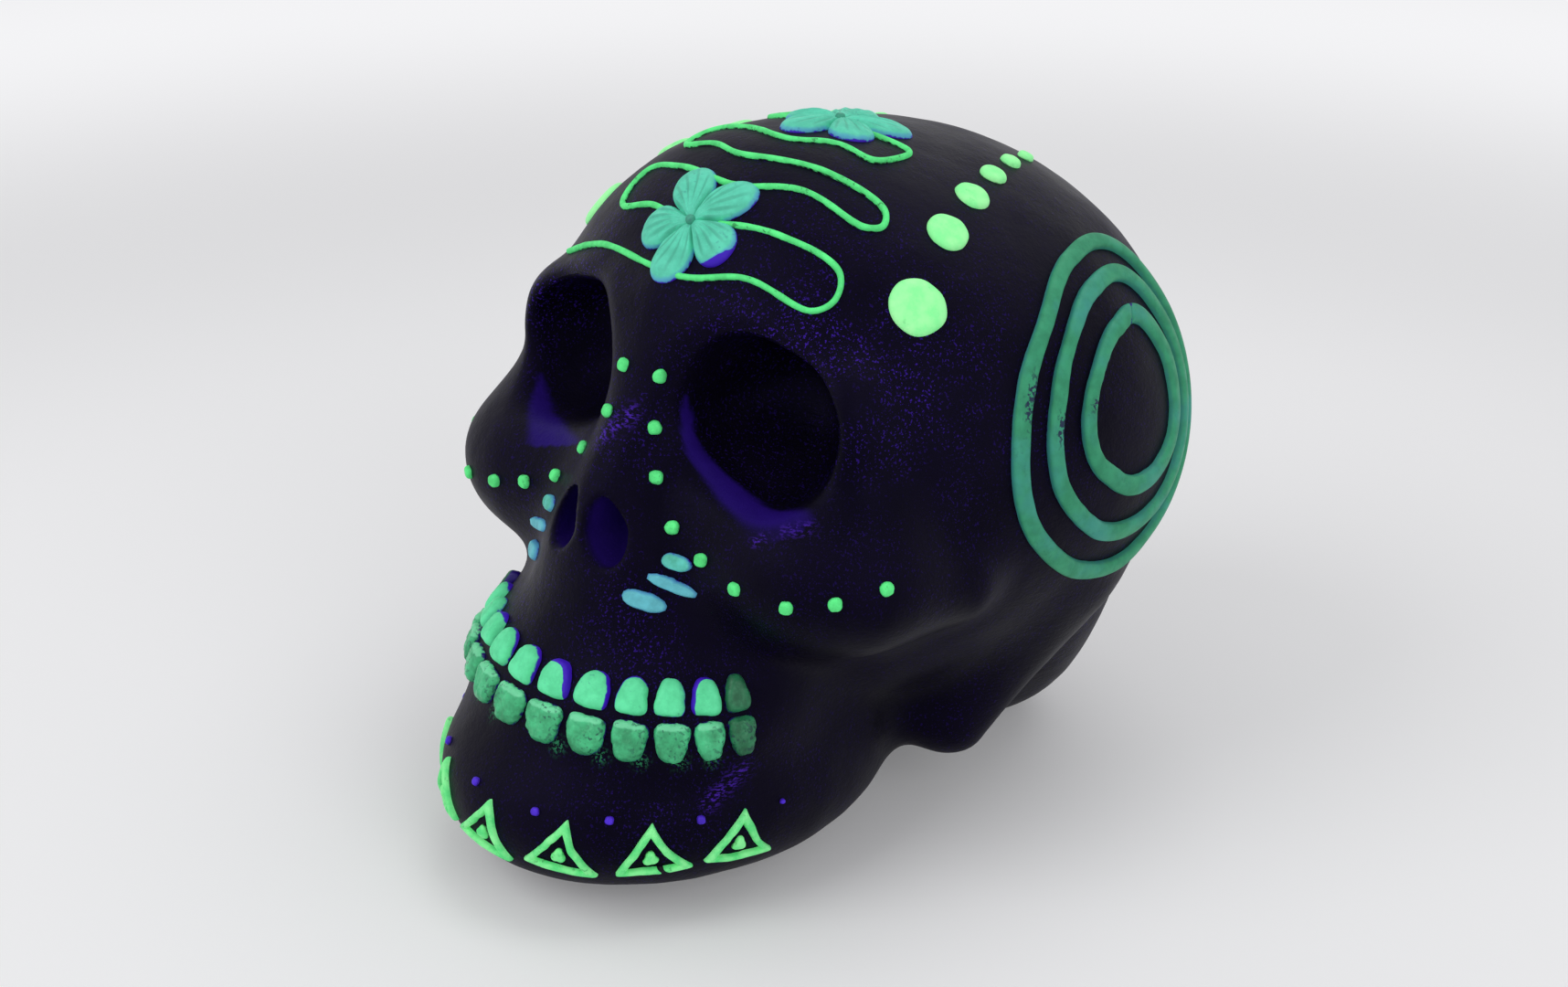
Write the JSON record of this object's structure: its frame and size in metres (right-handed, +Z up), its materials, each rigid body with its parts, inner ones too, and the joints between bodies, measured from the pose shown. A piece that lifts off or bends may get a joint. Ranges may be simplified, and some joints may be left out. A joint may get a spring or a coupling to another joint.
{
  "type": "sugar skull",
  "caption": "Cast decorative sugar skull in two hollow halves, dressed with raised bands, flowers, scrolls, discs and triangle frames; stands on its jaw and nape.",
  "frame": {"origin": "under the middle of the skull's box, on the plane it stands on", "axes": "+Z up, the face looks along -Y, +X is the skull's own left side"},
  "size_m": [0.125, 0.1536, 0.1269],
  "materials": {
    "body": "satin near-black with a violet sheen",
    "tooth_paint": "fluorescent green relief paint",
    "ring_paint": "thin fluorescent green relief paint",
    "flower_paint": "fluorescent blue-green relief paint",
    "line_paint": "fluorescent green relief paint",
    "disc_paint": "bright fluorescent green relief paint"
  },
  "bodies": {
    "root": {"face_shell": "body", "back_shell": "body", "upper_tooth_left_1": "tooth_paint", "upper_tooth_left_2": "tooth_paint", "upper_tooth_left_3": "tooth_paint", "upper_tooth_left_4": "tooth_paint", "upper_tooth_left_5": "tooth_paint", "upper_tooth_left_6": "tooth_paint", "upper_tooth_right_1": "tooth_paint", "upper_tooth_right_2": "tooth_paint", "upper_tooth_right_3": "tooth_paint", "upper_tooth_right_4": "tooth_paint", "upper_tooth_right_5": "tooth_paint", "upper_tooth_right_6": "tooth_paint", "lower_tooth_left_1": "tooth_paint", "lower_tooth_left_2": "tooth_paint", "lower_tooth_left_3": "tooth_paint", "lower_tooth_left_4": "tooth_paint", "lower_tooth_left_5": "tooth_paint", "lower_tooth_left_6": "tooth_paint", "lower_tooth_right_1": "tooth_paint", "lower_tooth_right_2": "tooth_paint", "lower_tooth_right_3": "tooth_paint", "lower_tooth_right_4": "tooth_paint", "lower_tooth_right_5": "tooth_paint", "lower_tooth_right_6": "tooth_paint", "outer_ring_left": "ring_paint", "outer_ring_right": "ring_paint", "middle_ring_left": "ring_paint", "middle_ring_right": "ring_paint", "inner_ring_left": "ring_paint", "inner_ring_right": "ring_paint", "forehead_flower": "flower_paint", "crown_flower": "flower_paint", "scroll_line_1": "line_paint", "scroll_line_2": "line_paint", "scroll_line_3": "line_paint", "scroll_line_4": "line_paint", "scroll_line_5": "line_paint", "scroll_line_6": "line_paint", "temple_disc_left_1": "disc_paint", "temple_disc_left_2": "disc_paint", "temple_disc_left_3": "disc_paint", "temple_disc_left_4": "disc_paint", "temple_disc_left_5": "disc_paint", "temple_disc_left_6": "disc_paint", "temple_disc_right_1": "disc_paint", "temple_disc_right_2": "disc_paint", "temple_disc_right_3": "disc_paint", "temple_disc_right_4": "disc_paint", "temple_disc_right_5": "disc_paint", "temple_disc_right_6": "disc_paint", "jaw_triangle_centre": "line_paint", "jaw_triangle_left_1": "line_paint", "jaw_triangle_left_2": "line_paint", "jaw_triangle_left_3": "line_paint", "jaw_triangle_right_1": "line_paint", "jaw_triangle_right_2": "line_paint", "jaw_triangle_right_3": "line_paint"}
  },
  "joints": []
}
